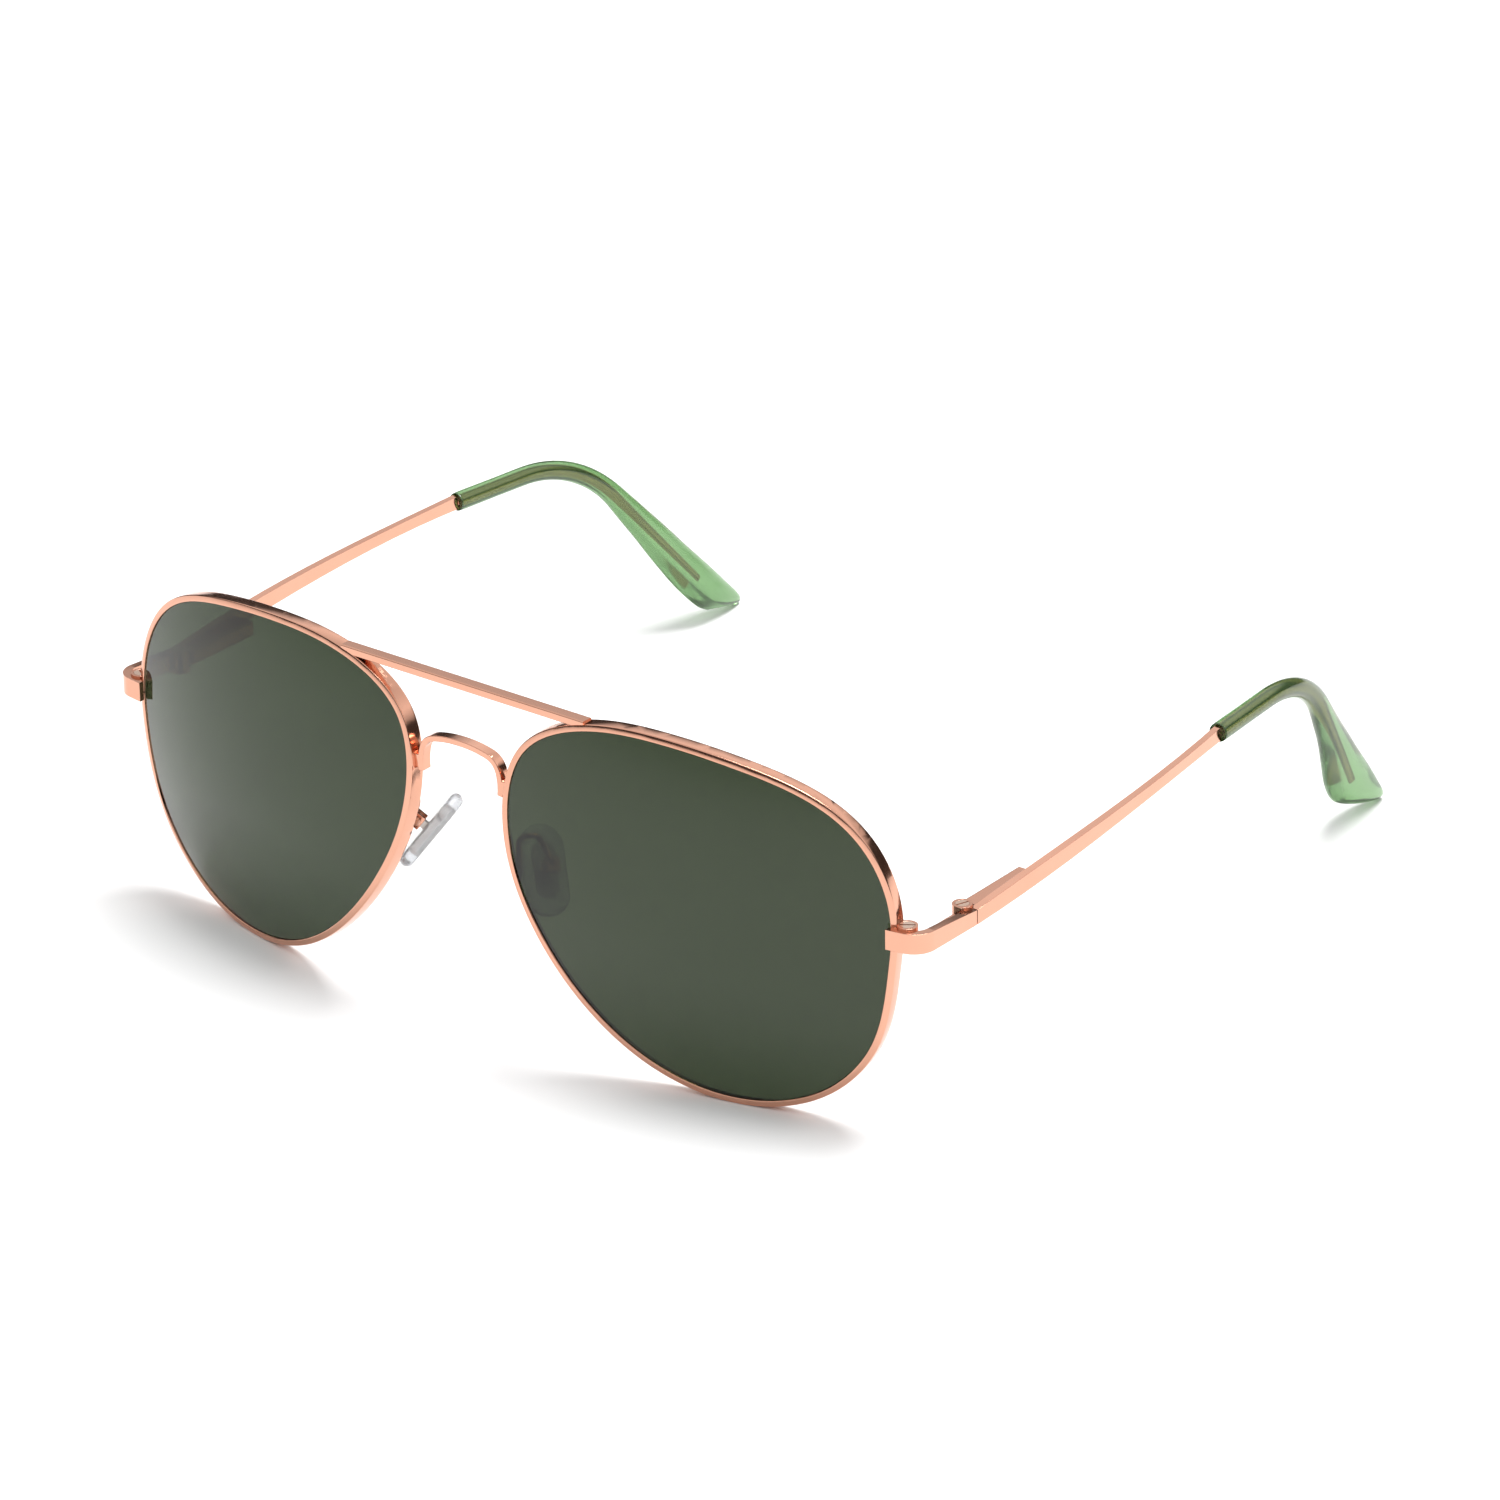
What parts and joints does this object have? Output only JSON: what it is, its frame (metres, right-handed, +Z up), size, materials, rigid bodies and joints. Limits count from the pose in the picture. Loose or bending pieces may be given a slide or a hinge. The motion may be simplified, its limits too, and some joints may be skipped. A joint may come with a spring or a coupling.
{
  "type": "aviator sunglasses",
  "caption": "Metal-framed aviator sunglasses with dark lenses, a double bridge, rocking nose pads and sprung folding temples, standing open on a table.",
  "frame": {"origin": "on the surface the open pair stands on, under the middle of its box", "axes": "+X to the wearer's left, the front faces -Y and the temples run to +Y, +Z up"},
  "size_m": [0.1432, 0.1378, 0.0524],
  "materials": {
    "rose_gold": "polished",
    "screw_steel": "polished",
    "spring_steel": "satin",
    "pad_metal": "satin",
    "green_lens": "polished",
    "green_acetate": "polished",
    "clear_silicone": "satin"
  },
  "bodies": {
    "front": {"bridge": "rose_gold", "brow_bar": "rose_gold", "rim_left": "rose_gold", "lens_left": "green_lens", "closing_block_upper_left": "rose_gold", "closing_block_lower_left": "rose_gold", "closing_screw_left": "screw_steel", "end_piece_left": "rose_gold", "hinge_leaf_left": "rose_gold", "hinge_screw_left": "screw_steel", "pad_arm_left": "rose_gold", "pad_box_left": "rose_gold", "pad_screw_left": "screw_steel", "rim_right": "rose_gold", "lens_right": "green_lens", "closing_block_upper_right": "rose_gold", "closing_block_lower_right": "rose_gold", "closing_screw_right": "screw_steel", "end_piece_right": "rose_gold", "hinge_leaf_right": "rose_gold", "hinge_screw_right": "screw_steel", "pad_arm_right": "rose_gold", "pad_box_right": "rose_gold", "pad_screw_right": "screw_steel"},
    "pad_left": {"nose_pad_left": "clear_silicone", "pad_core_left": "pad_metal"},
    "slider_left": {"hinge_slider_left": "rose_gold", "shank_nut_left": "screw_steel"},
    "temple_left": {"temple_arm_left": "rose_gold", "spring_case_left": "rose_gold", "spring_stop_left": "screw_steel", "slider_spring_left": "spring_steel", "temple_tip_left": "green_acetate"},
    "pad_right": {"nose_pad_right": "clear_silicone", "pad_core_right": "pad_metal"},
    "slider_right": {"hinge_slider_right": "rose_gold", "shank_nut_right": "screw_steel"},
    "temple_right": {"temple_arm_right": "rose_gold", "spring_case_right": "rose_gold", "spring_stop_right": "screw_steel", "slider_spring_right": "spring_steel", "temple_tip_right": "green_acetate"}
  },
  "joints": [
    {"name": "temple_fold_left", "type": "hinge", "parent": "front", "child": "slider_left", "pos_m": [0.0691, -0.04652, 0.02949], "axis": [0, 0, 1], "range_deg": [0, 90]},
    {"name": "temple_spring_left", "type": "slide", "parent": "slider_left", "child": "temple_left", "axis": [0, 1, 0], "range_m": [0, 0.002], "stiffness_N_per_m": 1500, "springref_m": -0.001, "deforming": ["slider_spring_left"]},
    {"name": "pad_rock_left", "type": "hinge", "parent": "front", "child": "pad_left", "pos_m": [0.01205, -0.06226, 0.02653], "axis": [0.4849, 0.8626, -0.144], "range_deg": [-8, 8]},
    {"name": "temple_fold_right", "type": "hinge", "parent": "front", "child": "slider_right", "pos_m": [-0.0691, -0.04652, 0.02949], "axis": [0, 0, -1], "range_deg": [0, 84]},
    {"name": "temple_spring_right", "type": "slide", "parent": "slider_right", "child": "temple_right", "axis": [0, 1, 0], "range_m": [0, 0.002], "stiffness_N_per_m": 1500, "springref_m": -0.001, "deforming": ["slider_spring_right"]},
    {"name": "pad_rock_right", "type": "hinge", "parent": "front", "child": "pad_right", "pos_m": [-0.01205, -0.06226, 0.02653], "axis": [0.4849, -0.8626, 0.144], "range_deg": [-8, 8]}
  ]
}
